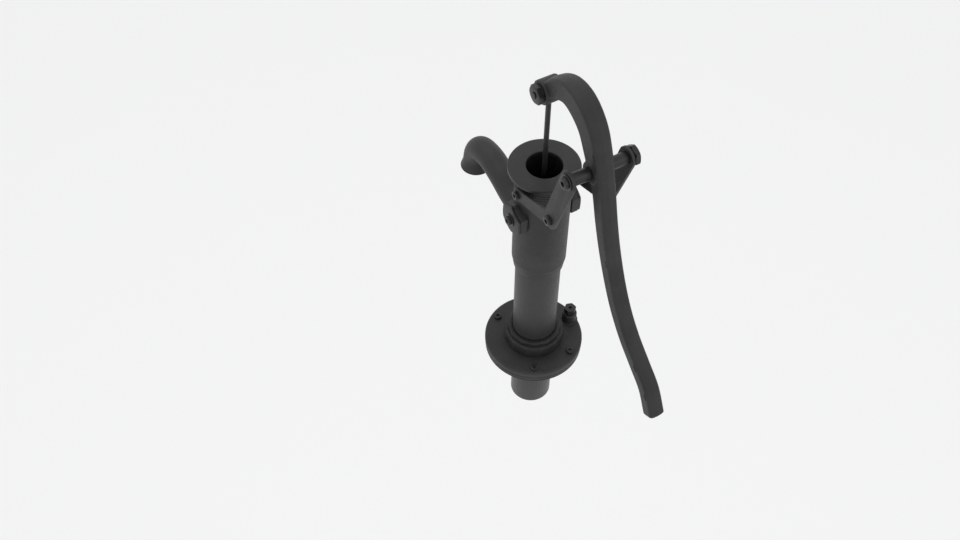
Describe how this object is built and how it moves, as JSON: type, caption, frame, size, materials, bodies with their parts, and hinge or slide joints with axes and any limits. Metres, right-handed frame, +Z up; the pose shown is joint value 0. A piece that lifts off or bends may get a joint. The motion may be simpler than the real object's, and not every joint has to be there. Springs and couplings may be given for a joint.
{
  "type": "hand well pump",
  "caption": "Hand lever well pump: flanged stand, head with capped open top, gooseneck spout, curved handle on a bolted fulcrum bracket, pump rod and plunger.",
  "frame": {"origin": "centre of the underside of the flange gasket, on the pump's axis", "axes": "+Z up along the pump's axis, +X towards the handle, -X towards the spout, Y along the fulcrum pin"},
  "size_m": [0.6787, 0.204, 0.9441],
  "materials": {
    "cast_dark": "dark satin cast iron",
    "steel_dark": "blackened steel",
    "gasket_rubber": "matt rubber",
    "cup_leather": "oiled leather",
    "bronze": "machined bronze"
  },
  "bodies": {
    "stand": {"well_flange": "cast_dark", "base_ring": "cast_dark", "flange_locknut": "cast_dark", "jam_nut": "cast_dark", "pump_head": "cast_dark", "head_cap": "cast_dark", "spout": "cast_dark", "side_plate_near": "cast_dark", "side_plate_far": "cast_dark", "fulcrum_bracket_near": "cast_dark", "fulcrum_bracket_far": "cast_dark", "drop_pipe": "steel_dark", "pump_tube": "steel_dark", "flange_bolt_1": "steel_dark", "flange_bolt_2": "steel_dark", "flange_bolt_3": "steel_dark", "flange_bolt_4": "steel_dark", "vent_washer": "steel_dark", "vent_plug": "steel_dark", "side_washer_near": "steel_dark", "side_washer_far": "steel_dark", "side_bolt_near": "steel_dark", "side_bolt_far": "steel_dark", "upper_bolt_near": "steel_dark", "upper_bolt_far": "steel_dark", "lower_bolt_near": "steel_dark", "lower_bolt_far": "steel_dark", "lower_nut_near": "steel_dark", "lower_nut_far": "steel_dark", "fulcrum_spacer_near": "steel_dark", "fulcrum_spacer_far": "steel_dark", "fulcrum_washer_near": "steel_dark", "fulcrum_washer_far": "steel_dark", "fulcrum_nut": "steel_dark", "fulcrum_pin": "steel_dark", "flange_gasket": "gasket_rubber", "barrel_liner": "bronze", "foot_valve_seat": "bronze"},
    "handle": {"handle": "cast_dark", "handle_bush": "bronze", "rod_pin": "steel_dark", "rod_pin_nut": "steel_dark", "rod_pin_washer_near": "steel_dark", "rod_pin_washer_far": "steel_dark"},
    "pump_rod": {"pump_rod": "steel_dark"},
    "plunger": {"plunger_body": "bronze", "crosshead_pin": "steel_dark", "cup_leather": "cup_leather", "cup_follower": "bronze"},
    "plunger_valve": {"plunger_valve": "bronze"},
    "foot_valve": {"foot_valve": "bronze"}
  },
  "joints": [
    {"name": "handle_hinge", "type": "hinge", "parent": "stand", "child": "handle", "pos_m": [0.152, 0, 0.6598], "axis": [0, 1, 0], "range_deg": [-40, 0]},
    {"name": "rod_hinge", "type": "hinge", "parent": "handle", "child": "pump_rod", "pos_m": [0, 0, 0.7078], "axis": [0, 1, 0], "range_deg": [0, 40]},
    {"name": "plunger_slide", "type": "slide", "parent": "stand", "child": "plunger", "axis": [0, 0, 1], "range_m": [-0.1105, 0]},
    {"name": "plunger_valve_lift", "type": "slide", "parent": "plunger", "child": "plunger_valve", "axis": [0, 0, 1], "range_m": [0, 0.006]},
    {"name": "foot_valve_lift", "type": "slide", "parent": "stand", "child": "foot_valve", "axis": [0, 0, 1], "range_m": [0, 0.008]}
  ],
  "couplings": [
    {"joint": "rod_hinge", "follows": "handle_hinge", "ratio": -1},
    {"joint": "plunger_slide", "follows": "handle_hinge", "m_per_rad": 0.1561}
  ]
}
